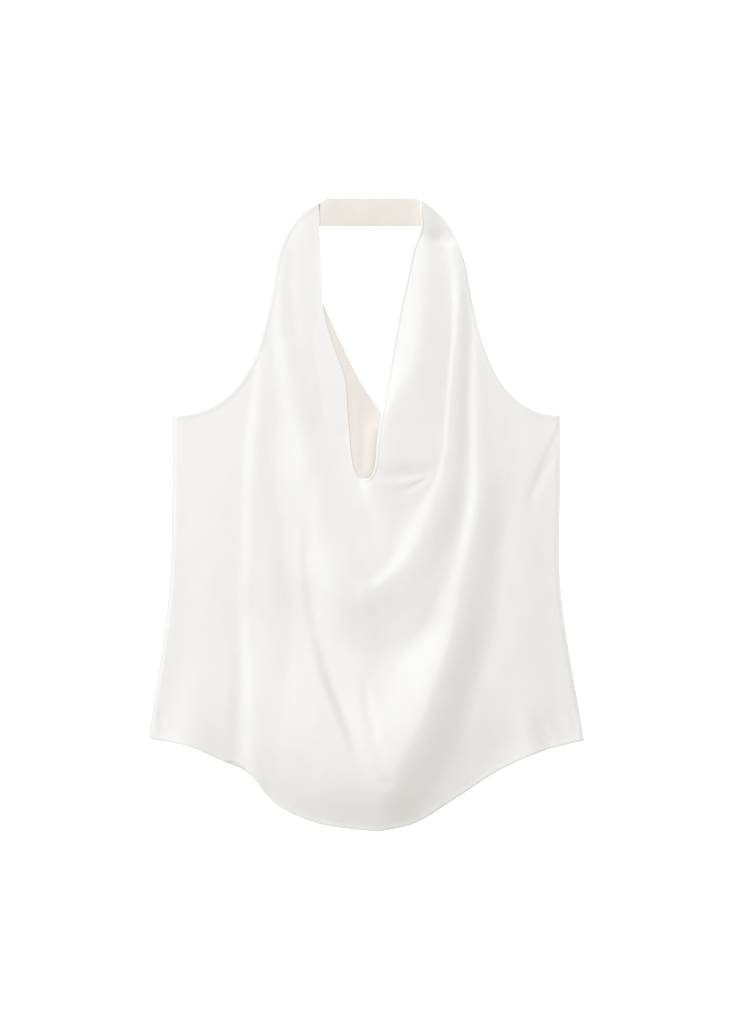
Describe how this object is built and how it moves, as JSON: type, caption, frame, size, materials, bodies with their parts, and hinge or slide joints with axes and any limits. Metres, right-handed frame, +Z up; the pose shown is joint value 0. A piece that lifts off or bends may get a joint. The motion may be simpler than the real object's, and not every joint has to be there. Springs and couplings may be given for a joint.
{
  "type": "cowl neck halter top",
  "caption": "Sleeveless satin halter top with a deep draped cowl front and a band behind the neck, lying flat with its front up.",
  "frame": {"origin": "middle of the footprint, on the surface that the top lies on", "axes": "+Z up from that surface, +Y towards the neck band, +X to the right as it is looked at from above"},
  "size_m": [0.541, 0.7856, 0.0231],
  "materials": {
    "satin": "smooth ivory white satin with a soft sheen",
    "satin_reverse": "matt reverse of the satin, slightly creamier"
  },
  "bodies": {
    "root": {"front": "satin", "back": "satin_reverse", "neck_band": "satin_reverse"}
  },
  "joints": []
}
